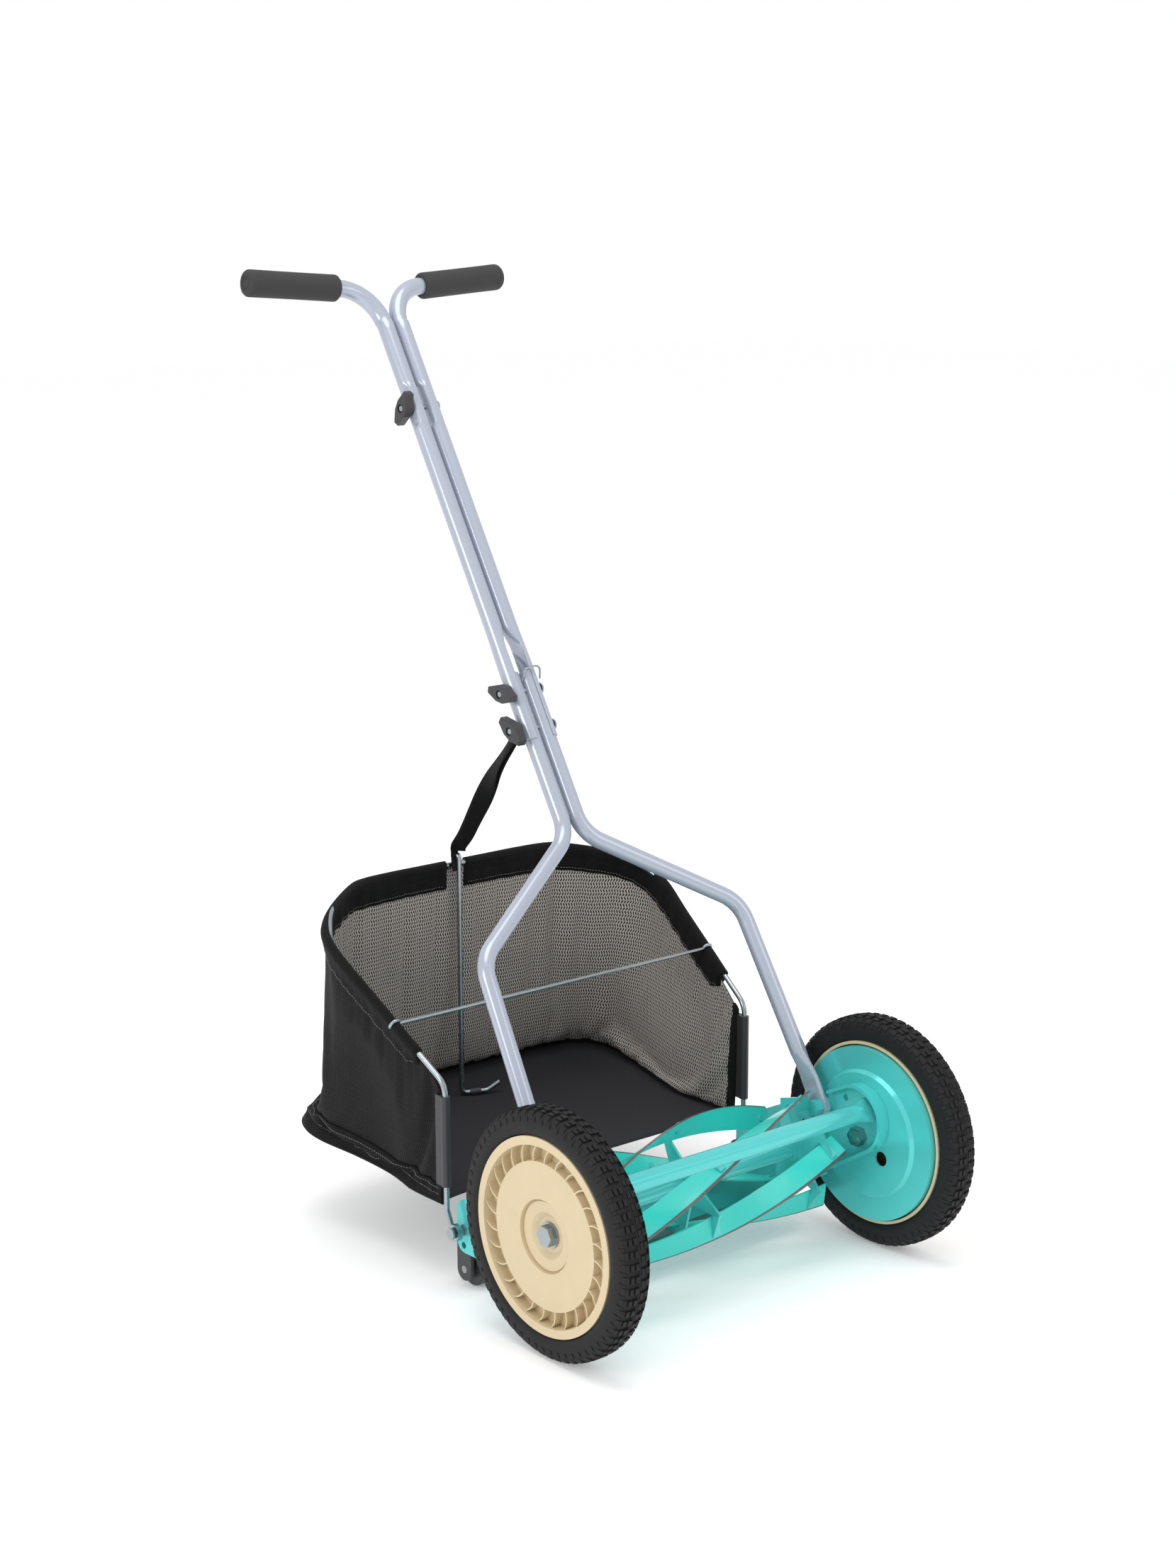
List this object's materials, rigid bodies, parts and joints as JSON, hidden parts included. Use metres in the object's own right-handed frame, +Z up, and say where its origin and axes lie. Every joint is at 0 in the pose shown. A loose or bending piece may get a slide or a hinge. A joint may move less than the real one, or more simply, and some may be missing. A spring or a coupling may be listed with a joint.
{
  "type": "reel mower",
  "caption": "Push reel mower: helical blades between gear-driven wheels, two-piece T handle on a forked yoke, rear roller and hung mesh grass catcher.",
  "frame": {"origin": "on the ground under the middle of the whole mower", "axes": "+Z up, -Y the way the mower cuts, X along the reel; the operator's right is -X"},
  "size_m": [0.4888, 0.7289, 1.0362],
  "materials": {
    "wheel_cream": "satin",
    "tyre": "matte",
    "turquoise_paint": "gloss",
    "tube_paint": "gloss",
    "zinc": "satin",
    "steel": "ground",
    "bronze": "satin",
    "black_plastic": "satin",
    "grip_foam": "matte",
    "mesh_fabric": "woven mesh",
    "floor_sheet": "coated",
    "webbing": "woven"
  },
  "bodies": {
    "chassis": {"side_plate_left": "turquoise_paint", "side_plate_right": "turquoise_paint", "gear_cover_left": "turquoise_paint", "gear_cover_right": "turquoise_paint", "bearing_bracket_left": "turquoise_paint", "bearing_bracket_right": "turquoise_paint", "bearing_bush_left": "bronze", "bearing_bush_right": "bronze", "tie_bar": "turquoise_paint", "tie_bar_rivets": "turquoise_paint", "cutter_bar": "turquoise_paint", "bed_knife": "steel", "cutter_bar_fasteners": "zinc", "axle_bolt_left": "zinc", "axle_bolt_right": "zinc", "axle_spacers": "zinc", "axle_nuts": "zinc", "handle_pivot_bolts": "turquoise_paint", "handle_pivot_spacers": "turquoise_paint", "roller_bracket_left": "black_plastic", "roller_bracket_right": "black_plastic", "roller_spindle": "steel", "roller_bracket_bolts": "zinc", "catcher_pins": "zinc"},
    "wheel_left_body": {"wheel_left": "wheel_cream", "tyre_left": "tyre"},
    "wheel_right_body": {"wheel_right": "wheel_cream", "tyre_right": "tyre"},
    "reel": {"reel_shaft": "turquoise_paint", "reel_blades": "turquoise_paint", "reel_spider_1": "turquoise_paint", "reel_spider_2": "turquoise_paint", "reel_spider_3": "turquoise_paint", "blade_rivets": "turquoise_paint", "drive_keys": "steel", "shaft_clips": "zinc"},
    "pinion_left_body": {"pinion_left": "steel"},
    "pinion_right_body": {"pinion_right": "steel"},
    "roller": {"rear_roller": "black_plastic"},
    "handle": {"lower_tube_left": "tube_paint", "lower_tube_right": "tube_paint", "upper_tube_left": "tube_paint", "upper_tube_right": "tube_paint", "grip_left": "grip_foam", "grip_right": "grip_foam", "handle_bolts": "zinc", "wire_clip": "zinc"},
    "knob_upper": {"wing_knob_upper": "black_plastic"},
    "knob_mid": {"wing_knob_mid": "black_plastic"},
    "knob_low": {"wing_knob_low": "black_plastic"},
    "strap_body": {"strap": "webbing"},
    "catcher": {"catcher_frame": "zinc", "cross_wire": "zinc", "support_rod": "zinc", "rod_sleeve": "black_plastic", "edge_sleeves": "black_plastic", "bag_body": "mesh_fabric", "bag_floor": "floor_sheet"}
  },
  "joints": [
    {"name": "wheel_left_spin", "type": "hinge", "parent": "chassis", "child": "wheel_left_body", "pos_m": [0, -0.2385, 0.127], "axis": [1, 0, 0], "continuous": true},
    {"name": "wheel_right_spin", "type": "hinge", "parent": "chassis", "child": "wheel_right_body", "pos_m": [0, -0.2385, 0.127], "axis": [1, 0, 0], "continuous": true},
    {"name": "reel_spin", "type": "hinge", "parent": "chassis", "child": "reel", "pos_m": [0, -0.17351, 0.101], "axis": [1, 0, 0], "continuous": true},
    {"name": "pinion_left_spin", "type": "hinge", "parent": "chassis", "child": "pinion_left_body", "pos_m": [0, -0.17351, 0.101], "axis": [1, 0, 0], "continuous": true},
    {"name": "pinion_right_spin", "type": "hinge", "parent": "chassis", "child": "pinion_right_body", "pos_m": [0, -0.17351, 0.101], "axis": [1, 0, 0], "continuous": true},
    {"name": "roller_spin", "type": "hinge", "parent": "chassis", "child": "roller", "pos_m": [0, -0.0505, 0.02], "axis": [1, 0, 0], "continuous": true},
    {"name": "handle_swing", "type": "hinge", "parent": "chassis", "child": "handle", "pos_m": [0, -0.186, 0.148], "axis": [1, 0, 0], "range_deg": [-8, 8]},
    {"name": "catcher_tilt", "type": "hinge", "parent": "chassis", "child": "catcher", "pos_m": [0, -0.0555, 0.0664], "axis": [1, 0, 0], "range_deg": [-9.2, 9.2]},
    {"name": "strap_swing", "type": "hinge", "parent": "handle", "child": "strap_body", "pos_m": [0, 0.0669, 0.553], "axis": [1, 0, 0], "range_deg": [-6.5, 6.5]},
    {"name": "wing_knob_upper_turn", "type": "hinge", "parent": "handle", "child": "knob_upper", "pos_m": [0, 0.26469, 0.8845], "axis": [1, 0, 0], "continuous": true},
    {"name": "wing_knob_mid_turn", "type": "hinge", "parent": "handle", "child": "knob_mid", "pos_m": [0, 0.08886, 0.5898], "axis": [1, 0, 0], "continuous": true},
    {"name": "wing_knob_low_turn", "type": "hinge", "parent": "handle", "child": "knob_low", "pos_m": [0, 0.0669, 0.553], "axis": [1, 0, 0], "continuous": true}
  ],
  "couplings": [
    {"joint": "reel_spin", "follows": "wheel_left_spin", "ratio": 6},
    {"joint": "pinion_left_spin", "follows": "wheel_left_spin", "ratio": 6},
    {"joint": "pinion_right_spin", "follows": "wheel_right_spin", "ratio": 6},
    {"joint": "catcher_tilt", "follows": "handle_swing", "ratio": 1.1056},
    {"joint": "strap_swing", "follows": "handle_swing", "ratio": -0.7307}
  ]
}
